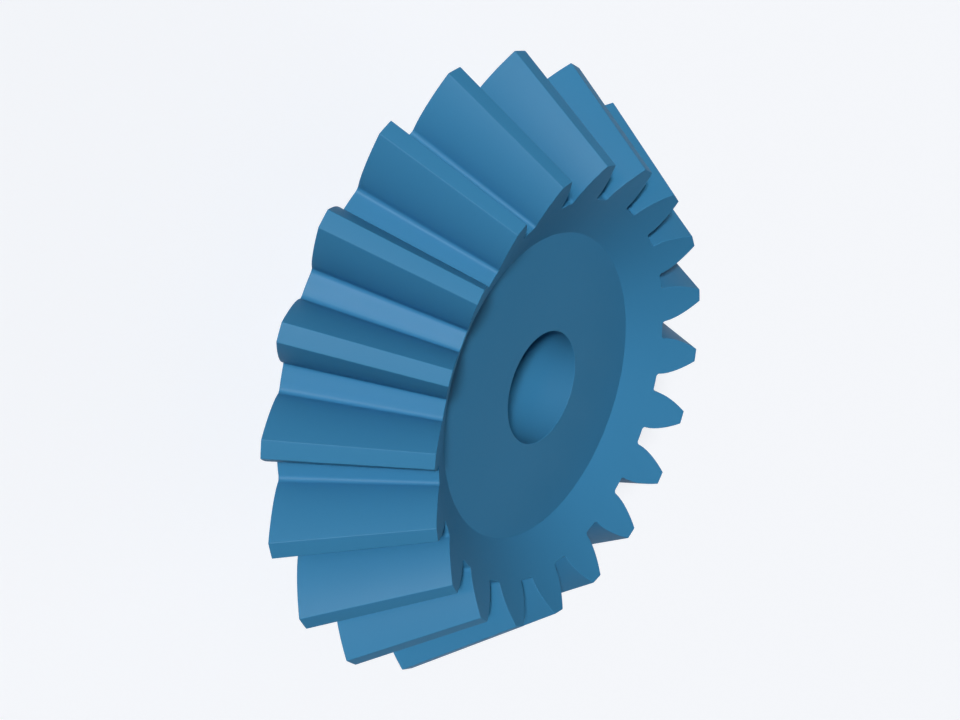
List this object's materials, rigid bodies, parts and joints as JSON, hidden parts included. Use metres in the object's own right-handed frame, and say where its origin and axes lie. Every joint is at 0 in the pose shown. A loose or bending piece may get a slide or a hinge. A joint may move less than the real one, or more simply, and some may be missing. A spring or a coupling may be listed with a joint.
{
  "type": "pinion gear",
  "caption": "Straight bevel pinion gear with tapering involute teeth, a dished front with a flat face, a plain round bore and a short round hub behind the teeth.",
  "frame": {"origin": "centre of the hub's back face, on the bore axis", "axes": "+Z along the bore axis towards the small end of the teeth, +X and +Y each through the middle of a tooth space"},
  "size_m": [0.0658, 0.0658, 0.0239],
  "materials": {
    "blue_plastic": "matte mid blue all over"
  },
  "bodies": {
    "root": {"bevel_pinion": "blue_plastic"}
  },
  "joints": []
}
